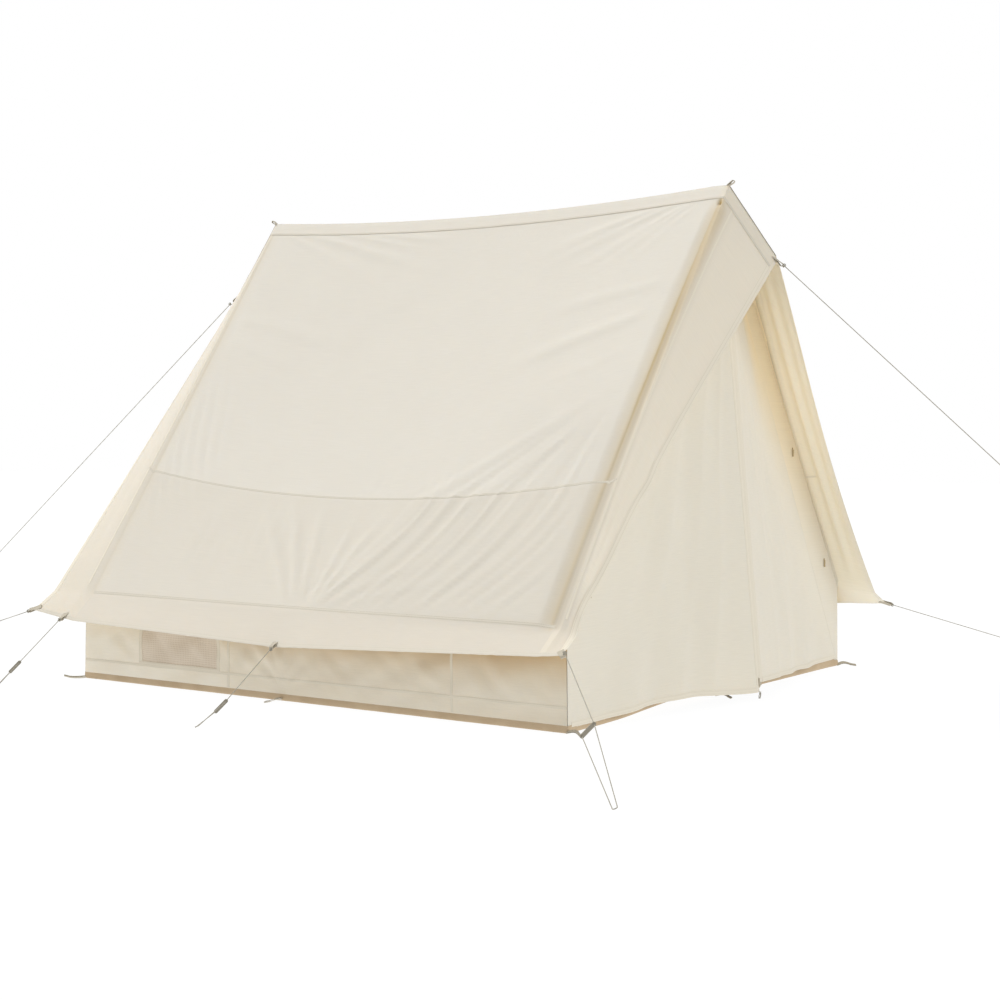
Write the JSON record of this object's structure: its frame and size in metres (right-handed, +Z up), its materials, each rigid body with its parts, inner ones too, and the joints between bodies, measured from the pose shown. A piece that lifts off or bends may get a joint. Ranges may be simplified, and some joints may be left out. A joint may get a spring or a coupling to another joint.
{
  "type": "ridge tent",
  "caption": "Canvas ridge tent with low side walls, a pole arch at each end, hooded gables, a zipped two-leaf front door and guylines with runners.",
  "frame": {"origin": "on the ground at the middle of the floor", "axes": "+X across the tent, +Y along the ridge with the door gable facing -Y, +Z up"},
  "size_m": [3.5784, 5.363, 1.9436],
  "materials": {
    "canvas": "matte",
    "mesh_net": "matte",
    "ground_cloth": "matte",
    "pole_metal": "satin",
    "foot_rubber": "matte",
    "cord": "matte",
    "zip": "satin",
    "runner": "satin"
  },
  "bodies": {
    "tent": {"groundsheet": "ground_cloth", "left_roof": "canvas", "right_roof": "canvas", "ridge_band": "canvas", "front_left_hood": "canvas", "front_right_hood": "canvas", "rear_left_hood": "canvas", "rear_right_hood": "canvas", "left_wall": "canvas", "right_wall": "canvas", "left_window_mesh": "mesh_net", "right_window_mesh": "mesh_net", "front_gable": "canvas", "rear_gable": "canvas", "front_apex_connector": "pole_metal", "front_left_upper_pole": "pole_metal", "front_left_lower_pole": "pole_metal", "front_left_elbow": "pole_metal", "front_left_leg": "pole_metal", "front_left_foot": "foot_rubber", "front_right_upper_pole": "pole_metal", "front_right_lower_pole": "pole_metal", "front_right_elbow": "pole_metal", "front_right_leg": "pole_metal", "front_right_foot": "foot_rubber", "rear_apex_connector": "pole_metal", "rear_left_upper_pole": "pole_metal", "rear_left_lower_pole": "pole_metal", "rear_left_elbow": "pole_metal", "rear_left_leg": "pole_metal", "rear_left_foot": "foot_rubber", "rear_right_upper_pole": "pole_metal", "rear_right_lower_pole": "pole_metal", "rear_right_elbow": "pole_metal", "rear_right_leg": "pole_metal", "rear_right_foot": "foot_rubber", "front_left_upper_toggle": "runner", "front_left_lower_toggle": "runner", "front_right_upper_toggle": "runner", "front_right_lower_toggle": "runner", "guyline_front_beak": "cord", "guyline_rear_beak": "cord", "guyline_front_left": "cord", "guyline_front_left_return": "cord", "guyline_front_right": "cord", "guyline_left_middle": "cord", "guyline_left_middle_return": "cord", "guyline_rear_left_eave": "cord", "guyline_rear_left_eave_return": "cord", "guyline_rear_left_corner": "cord"},
    "left_door": {"left_door_leaf": "canvas", "left_zip_tape": "zip"},
    "right_door": {"right_door_leaf": "canvas", "right_zip_tape": "zip"},
    "zip_slider_body": {"zip_slider": "runner"},
    "front_left_runner": {"guyline_front_left_runner": "runner"},
    "left_middle_runner": {"guyline_left_middle_runner": "runner"},
    "rear_left_runner": {"guyline_rear_left_eave_runner": "runner"}
  },
  "joints": [
    {"name": "left_door_swing", "type": "hinge", "parent": "tent", "child": "left_door", "pos_m": [-1.0877, -1.1305, 0.028], "axis": [-0.515, -0.0154, -0.857], "range_deg": [0, 48]},
    {"name": "right_door_swing", "type": "hinge", "parent": "tent", "child": "right_door", "pos_m": [1.0877, -1.1305, 0.028], "axis": [-0.515, 0.0154, 0.857], "range_deg": [0, 48]},
    {"name": "zip_slide", "type": "slide", "parent": "left_door", "child": "zip_slider_body", "axis": [0, 0.0998, 0.995], "range_m": [0, 1.58]},
    {"name": "front_left_runner_slide", "type": "slide", "parent": "tent", "child": "front_left_runner", "axis": [0.7214, 0.6384, 0.2682], "range_m": [0, 0.15]},
    {"name": "left_middle_runner_slide", "type": "slide", "parent": "tent", "child": "left_middle_runner", "axis": [0.8905, 0.2318, 0.3915], "range_m": [0, 0.15]},
    {"name": "rear_left_runner_slide", "type": "slide", "parent": "tent", "child": "rear_left_runner", "axis": [0.8499, 0.1604, 0.5019], "range_m": [0, 0.15]}
  ]
}
